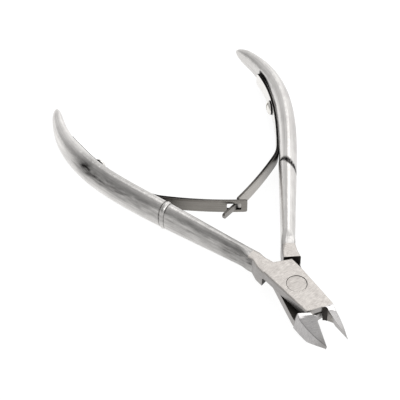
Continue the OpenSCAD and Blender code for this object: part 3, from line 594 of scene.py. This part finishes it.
# One lever: handle rows, joint rows and jaw rows in one skin, then the bores for rivet and screw
def makeLever(name, body, isUpper):
    handleRings, paintedShadeAndTone, rootRight, rootLeft = handleRows(isUpper)
    openBy = joint["upperOpen"] if isUpper else joint["lowerOpen"]
    root = opened(np.array([[*rootRight, 0], [*rootLeft, 0]]), -openBy)[:, :2]
    jointCorners, jointRadii = jointRows(isUpper, *root)
    inner, lean = (throat, jaw["bevelLean"]) if isUpper else (beak, -jaw["shoulderLean"])
    jawCorners, jawRadii, jawY = jawRows(inner, lean)
    headCorners = opened(np.concatenate([jointCorners, jawCorners]), openBy)
    rings = np.concatenate([handleRings, sectionRows(headCorners, np.concatenate([jointRadii, jawRadii]))])
    mirror = -1 if isUpper else 1
    if not isUpper:
        rings = rings * np.array([-1, 1, 1])
    handleCount, jawStart = len(handleRings), len(handleRings) + len(jointCorners)
    lapStart, frontStart = handleCount + sum(joint["steps"][:2]), jawStart - 1 - sum(joint["steps"][-2:])
    paintedShadeAndTone = np.concatenate([paintedShadeAndTone, np.zeros(headCorners.shape[:1] + paintedShadeAndTone.shape[1:])])
    depth = np.concatenate([np.zeros(jawStart), -jawY])

    # which finish a face takes: buffed handle, ground head with milled walls, honed jaws, dark lap faces, and painted
    # shade in the throat, along the plate's front foot and in the lower jaw's crease
    def finishAt(i, k):
        isWall = ((k - halfArc) % (2 * side) >= side) & (i >= handleCount - 1)
        isInner = isWall & (k > side) & (k < 3 * side)
        isLap = (k - halfArc - (2 * side if isUpper else 0)) % (4 * side) < side
        isDark = (i >= lapStart) & (i < jawStart) & isLap
        inThroat = (i >= jawStart - 1) & (depth[i] < jaw["throatEnd"])
        if isUpper:
            # painted shade high in the upper throat
            isDark |= inThroat & (depth[i] < jaw["throatShadeEnd"]) & isInner
            isFoot = (k >= 2 * side - 3) & (k < 2 * side + 2)
            isDark |= (i >= frontStart) & (i < jawStart) & isFoot  # painted shadow along the foot of the plate's front
            # painted shade on the throat's inner wall
            isThroatShade = inThroat & isInner
        else:
            isBevel = (k >= side - 1) & (k < side + 8)
            # painted shadow line across the lower jaw's crease
            isDark |= inThroat & (np.abs(depth[i] - jaw["creaseAt"]) < jaw["creaseHalf"]) & isBevel
            # painted shade on the throat's inner wall and on the bevel by the shoulder
            isThroatShade = inThroat & (isInner | ((depth[i] < jaw["shoulderEnd"]) & isBevel))
        isTop = (k >= halfArc) & (k < side + halfArc)
        isHandle = i < handleCount - np.where(isUpper & isTop, 3, 1)  # the upper plate is ground two rows further
        plain = np.where(isHandle, buffed, np.where(i < jawStart, ground, honed))
        isMilled = isWall & ((i < jawStart) | (isUpper & isInner))
        return np.where(isDark, lapAndShade, np.where(isThroatShade, throatShade, np.where(isMilled, milled, plain)))

    lever = skin(name, rings, leverFinishes, finishAt, paintedShadeAndTone)
    fit, full = rivet["fit"], joint["height"]
    shank, head = rivet["diameter"] / 2 + fit, rivet["headDiameter"] / 2 + fit
    if isUpper:
        ledge, lip = full - rivet["headHeight"] - fit, rivet["boreBreak"]
        bore = [(shank, 0), (shank, ledge), (head, ledge), (head, full - lip),
                (head + lip, full), (head + lip, full + 1)]
    else:
        lip = rivet["footBreak"]
        bore = [(shank + lip, -1), (shank + lip, 0), (shank, lip), (shank, full)]
    foot, away = screwPlace(mirror, -screw["deep"])
    tap = screw["diameter"] / 2 + screw["tapFit"]
    tapped = turned("tapped", [(tap, -0.05), (tap, screw["deep"] + 0.9)], foot, away, (buffedSteel,), 32)
    cutBy(lever, turned("bore", bore, rivet["boreAt"], (0, 0, 1), (lapAndShadeSteel,)), tapped)
    finishShading(lever)
    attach(lever, body)
    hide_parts("upper_lever" if isUpper else "lower_lever")


makeLever("upperLever", "upper_half", True)
makeLever("lowerLever", "lower_half", False)
print("levers ready")


# Spring strip on the +X handle: seat points, then an arc away from the handle, then a long flat bow.
# Each row is a thin rounded rectangle across the path, and the width follows the end's own outline.
def makeLeaf(name, isSlotted):
    back = spring["thick"] / 2
    seatT = np.linspace(spring["end"], spring["leave"], 40)
    seatHeading = gripHeading(seatT)
    seatPoint = gripCentre(seatT) + (seatDepth(seatT) + back)[:, None] * gripInward(seatT)
    seatTurn = np.arctan2(seatHeading[:, 0], seatHeading[:, 1])
    start, startTurn = seatPoint[-1], seatTurn[-1]
    bendEnd = startTurn + math.radians(spring["bendTurn"])

    # arc that starts at a point: the radius times the change of cosine and sine from begin to turn
    def arcFrom(point, radius, begin, turn):
        return point + radius * np.stack([np.cos(turn) - np.cos(begin), np.sin(begin) - np.sin(turn)], -1)

    bendTurn = np.linspace(startTurn, bendEnd, 14)[1:]
    bendPoint = arcFrom(start, spring["bendRadius"], startTurn, bendTurn)
    crossTurn = math.acos(math.cos(bendEnd) - bendPoint[-1, 0] / spring["bowRadius"])
    past, tipRound = spring["slotPast"] if isSlotted else spring["tonguePast"], spring["tipRound"]
    length = (crossTurn - bendEnd) * spring["bowRadius"]
    shoulder = -spring["tongueBack"]
    distance = np.concatenate([  # from the crossing, closer together at the shoulder and the tip
        np.linspace(0.4 - length, shoulder - 0.5, 24), shoulder + np.linspace(-0.4, 0.4, 9),
        np.linspace(shoulder + 0.5, past - tipRound - 0.1, 14),
        past - tipRound * (1 - np.sin(np.linspace(0.1, np.pi / 2 - 0.02, 10)))])
    bowTurn = crossTurn + distance / spring["bowRadius"]
    bowPoint = arcFrom(bendPoint[-1], spring["bowRadius"], bendEnd, bowTurn)
    point = np.concatenate([seatPoint, bendPoint, bowPoint])
    turn = np.concatenate([seatTurn, bendTurn, bowTurn])
    run = np.concatenate([[0], np.cumsum(np.linalg.norm(np.diff(point, axis=0), axis=1))])
    wide = spring["wide"] - spring["endRound"] * (1 - rounded(1 - run / spring["endRound"]))
    tip = rounded((distance - past + tipRound) / tipRound)
    if isSlotted:
        wide[-len(distance):] -= spring["endRound"] * (1 - tip)
    else:
        step = eased((distance - shoulder) / spring["tongueStep"] + 0.5)
        tongue = spring["wide"] + (spring["tongueWidth"] - spring["wide"]) * step
        wide[-len(distance):] = tongue * (spring["tongueTip"] + (1 - spring["tongueTip"]) * tip)
    facing = np.stack([np.cos(turn), -np.sin(turn)], 1)
    filed = spring["filedShare"] * (1 - clamp(run / spring["filedRun"])) * isSlotted  # the seated end is filed thin
    outer, inner = point + back * facing, point + (back - 2 * back * (1 - filed))[:, None] * facing
    plan = np.stack([inner, outer, outer, inner], 1)
    lift = spring["height"] + np.stack([wide, wide, -wide, -wide], 1) / 2
    corners = np.concatenate([plan, lift[..., None]], 2)
    if isSlotted:
        corners = corners * np.array([-1, 1, 1])
    radius = spring["slottedCorner"] if isSlotted else spring["tonguedCorner"]
    rings = sectionRows(corners, np.full((len(corners), 4), radius))
    k = np.arange(rings.shape[1])
    isEdge, onSide = (k // side) % 2 == 0, k % side  # the sheared edges, above and below
    isFlat = isEdge & (onSide >= loop["arc"])
    isRim = isEdge & (onSide >= loop["arc"] - (5 if isSlotted else 3)) & ~isFlat  # the rim arcs take the edge's painted shadow, further round when slotted
    finishes = (slottedStripPaintedReflection, edgeAndShadowSteel, seatedEdgePaintedHighlight) if isSlotted else (tonguedStripPaintedReflection, edgeAndShadowSteel, edgeAndShadowSteel)
    leaf = skin(name, rings, finishes, lambda i, k: isRim[k] + 2 * isFlat[k])
    mirror = -1 if isSlotted else 1
    flip = np.array([mirror, 1])
    foot, away = screwPlace(mirror, 0)
    hole = screw["diameter"] / 2 + screw["fit"]
    cutters = [turned("hole", [(hole, -1), (hole, 3)], foot, away, (edgeAndShadowSteel,), 32)]
    if isSlotted:
        crossPoint = arcFrom(bendPoint[-1], spring["bowRadius"], bendEnd, crossTurn) * flip
        along = np.array([-math.sin(crossTurn), -math.cos(crossTurn)]) * flip
        through = np.array([along[1], -along[0]])
        half, reach = spring["slotLength"] / 2, np.array([-2, 2])[:, None, None]
        far, near = along * (half - spring["slotShort"]), -along * half
        ends = crossPoint + np.stack([far, far, near, near], 0)
        level = spring["height"] + np.array([1, -1, -1, 1]) * spring["slotWidth"] / 2
        box = np.concatenate([ends[None] + reach * through, np.broadcast_to(level[None, :, None], (2, 4, 1))], 2)
        cutters.append(skin("slot", sectionRows(box, np.full((2, 4), spring["slotCorner"])), (edgeAndShadowSteel,)))
    cutBy(leaf, *cutters)
    finishShading(leaf, 40)
    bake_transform(leaf)
    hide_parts(*(("slotted_leaf_seat", "slotted_leaf_end") if isSlotted
                        else ("tongued_leaf_seat", "tongued_leaf_end")))


makeLeaf("slottedLeaf", True)
makeLeaf("tonguedLeaf", False)
print("springs ready")


# Rivet: a flush head and shank turned about the pivot, edges broken so that the rim shows
def makeRivet():
    radius, head, chamfer = rivet["diameter"] / 2, rivet["headDiameter"] / 2, rivet["break"]
    ledge, top = joint["height"] - rivet["headHeight"], joint["height"] - rivet["sunk"]
    profile = [(radius - chamfer, 0), (radius, chamfer), (radius, ledge), (head, ledge),
               (head, top - chamfer), (head - chamfer, top), (rivet["innerRing"], top)]
    piece = turned("pivotRivet", profile, (0, 0, 0), (0, 0, 1), (rivetSteel,), 96)
    finishShading(piece)
    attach(piece, "lower_half")
    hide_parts("pivot_rivet")


makeRivet()


# Spring screw: a shank and a domed head, the dome a quarter ellipse raised to a power so that it is fuller, with a
# driver slot cut across
def makeScrew(name, body, node, mirror):
    foot, away = screwPlace(mirror, -screw["deep"])
    base = screw["deep"] + spring["thick"] + screw["lift"]
    radius, top, shank = screw["headDiameter"] / 2, screw["headHeight"], screw["diameter"] / 2
    tipBreak, headBreak, rim = screw["tipBreak"], screw["headBreak"], screw["rimHeight"]
    dome = np.linspace(0, np.pi / 2, 12)[:-1]
    profile = [(screw["innerRing"], 0), (shank - tipBreak, 0), (shank, tipBreak), (shank, base),
               (radius - headBreak, base), (radius, base + headBreak)]
    profile += list(zip(radius * np.cos(dome) ** screw["domePower"], base + rim + (top - rim) * np.sin(dome)))
    shadedRimEnd = 7 if mirror > 0 else 6  # painted shade on the head below its dome, on the lower lever a little higher
    piece = turned(name, profile, foot, away, (screwSteel, edgeAndShadowSteel), 72,
                   lambda i, k: ((i > 2) & (i < shadedRimEnd)).astype(int))
    up, sideways = np.array([0, 0, 1]), np.cross((0, 0, 1), away)
    floorAt = foot + away * (base + top - screw["driverDeep"])
    quad = np.array([1, -1, -1, 1])[:, None] * up * 3
    quad = quad + np.array([1, 1, -1, -1])[:, None] * sideways * screw["driverWidth"] / 2
    box = np.stack([floorAt + quad, floorAt + quad + away * 2])
    cutBy(piece, skin("driver", sectionRows(box, np.full((2, 4), screw["driverCorner"])), (screwSteel,)))
    finishShading(piece)
    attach(piece, body)
    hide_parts(node)


makeScrew("slottedLeafScrew", "upper_half", "slotted_leaf_screw", -1)
makeScrew("tonguedLeafScrew", "lower_half", "tongued_leaf_screw", 1)
print("fasteners ready")

studio = {"floor": -1.72, "size": 1600.0, "target": (-6.97, 34.65, 2.4), "distance": 350.0,
          "azimuth": -26.33, "elevation": 46.65, "lens": 132.4, "sensor": 36.0, "clip": (0.01, 20),
          "keyPlace": (250, 350, 600), "keySize": 420, "keyPower": 0.5}


# Pale floor: a flat sheet under the lowest point
def makeFloor():
    reach = studio["size"]
    points = np.array([[-1, -1, 0], [1, -1, 0], [1, 1, 0], [-1, 1, 0]]) * reach + np.array([0, 0, studio["floor"]])
    mesh = bpy.data.meshes.new("floor")
    mesh.from_pydata((points * mm).tolist(), [], [(0, 1, 2, 3)])
    material, tree = newMaterial("whitePaperSweep")  # matt white paper, lit through so that it stays even
    shader = addNode(tree, "ShaderNodeBsdfPrincipled", values={
        "Base Color": hexColor("747474"), "Roughness": 0.8, "Specular IOR Level": 0.1,
        "Emission Color": hexColor("ffffff"), "Emission Strength": 0.9})
    addNode(tree, "ShaderNodeOutputMaterial", feeds={"Surface": (shader, "BSDF")})
    mesh.materials.append(material)
    floor = bpy.data.objects.new("floor", mesh)
    bpy.context.collection.objects.link(floor)


# light level of each part of the studio: azimuth from +Y toward +X and half width, lowest and highest
# elevation, softness of the rim, all in degrees, then brightness
sky = {"base": 0.95, "windows": [
    (0, 180, 60, 91, 10, 0.29),  # open ceiling
    (-14, 34, 41, 62, 8, 0.7),  # dim strip of it behind
    (82, 36, 0, 60, 14, 1.6),  # white wall at the right
    (-84, 40, -20, 60, 24, 0.58),  # dim room at the left
    (165, 33, 22, 46, 8, 4.0)]}  # soft box beside the camera


# Studio sky: each window is a product of smooth steps in the ray's azimuth, by the cosine to the window's
# heading, and in its height, by its z, and mixes its brightness over what was there
def makeSky():
    world = bpy.data.worlds.new("studio")
    bpy.context.scene.world = world
    world.use_nodes = True
    tree = world.node_tree
    tree.nodes.clear()
    coords = addNode(tree, "ShaderNodeTexCoord")
    ray = addNode(tree, "ShaderNodeSeparateXYZ", feeds={"Vector": (coords, "Generated")})
    flat = addNode(tree, "ShaderNodeCombineXYZ", feeds={"X": (ray, "X"), "Y": (ray, "Y")})
    heading = addNode(tree, "ShaderNodeVectorMath", {"operation": "NORMALIZE"}, feeds={0: (flat, "Vector")})
    source = None
    sine = lambda a: math.sin(math.radians(max(-90, min(90, a))))
    cosine = lambda a: math.cos(math.radians(min(180, a))) - (1.5 if a >= 180 else 0)  # a full turn is all inside
    for azimuth, half, low, high, soft, brightness in sky["windows"]:
        toward = Vector((math.sin(math.radians(azimuth)), math.cos(math.radians(azimuth)), 0))
        dot = addNode(tree, "ShaderNodeVectorMath", {"operation": "DOT_PRODUCT"}, {1: toward}, {0: (heading, "Vector")})
        steps = [(dot, "Value", cosine(half + soft), cosine(half)),
                 (ray, "Z", sine(low - soft / 2), sine(low + soft / 2)),
                 (ray, "Z", sine(high + soft / 2) + 1e-4, sine(high - soft / 2))]
        masks = [addNode(tree, "ShaderNodeMapRange", {"interpolation_type": "SMOOTHSTEP"},
                         {"From Min": a, "From Max": b}, {"Value": (node, out)}) for node, out, a, b in steps]
        pair = addNode(tree, "ShaderNodeMath", {"operation": "MULTIPLY"},
                       feeds={0: (masks[0], "Result"), 1: (masks[1], "Result")})
        mask = addNode(tree, "ShaderNodeMath", {"operation": "MULTIPLY"},
                       feeds={0: (pair, "Value"), 1: (masks[2], "Result")})
        level = addNode(tree, "ShaderNodeMix", {"data_type": "FLOAT"}, {"A": sky["base"], "B": brightness},
                        {"Factor": (mask, "Value"), **({"A": source} if source else {})})
        source = (level, "Result")
    back = addNode(tree, "ShaderNodeBackground", feeds={"Strength": source})
    addNode(tree, "ShaderNodeOutputWorld", feeds={"Surface": (back, "Background")})


# soft box: an area light that points at the object
def makeLight(name, place, size, power):
    light = bpy.data.lights.new(name, "AREA")
    light.shape, light.size, light.energy = "DISK", size * mm, power
    lamp = bpy.data.objects.new(name, light)
    lamp.location = Vector(place) * mm
    lamp.rotation_euler = (Vector(studio["target"]) * mm - lamp.location).to_track_quat("-Z", "Y").to_euler()
    bpy.context.collection.objects.link(lamp)


# camera: the target plus the distance along the direction that the azimuth and elevation give, looking back
def makeCamera():
    azimuth, elevation = math.radians(studio["azimuth"]), math.radians(studio["elevation"])
    level = math.cos(elevation)
    back = Vector((math.sin(azimuth) * level, -math.cos(azimuth) * level, math.sin(elevation)))
    data = bpy.data.cameras.new("camera")
    data.lens, data.sensor_width = studio["lens"], studio["sensor"]
    data.clip_start, data.clip_end = studio["clip"]
    camera = bpy.data.objects.new("camera", data)
    camera.location = (Vector(studio["target"]) + back * studio["distance"]) * mm
    camera.rotation_euler = back.to_track_quat("Z", "Y").to_euler()
    bpy.context.collection.objects.link(camera)
    bpy.context.scene.camera = camera


makeFloor()
makeSky()
makeLight("keyBox", studio["keyPlace"], studio["keySize"], studio["keyPower"])
makeCamera()
bpy.context.scene.view_settings.view_transform = "Standard"
print("studio ready")
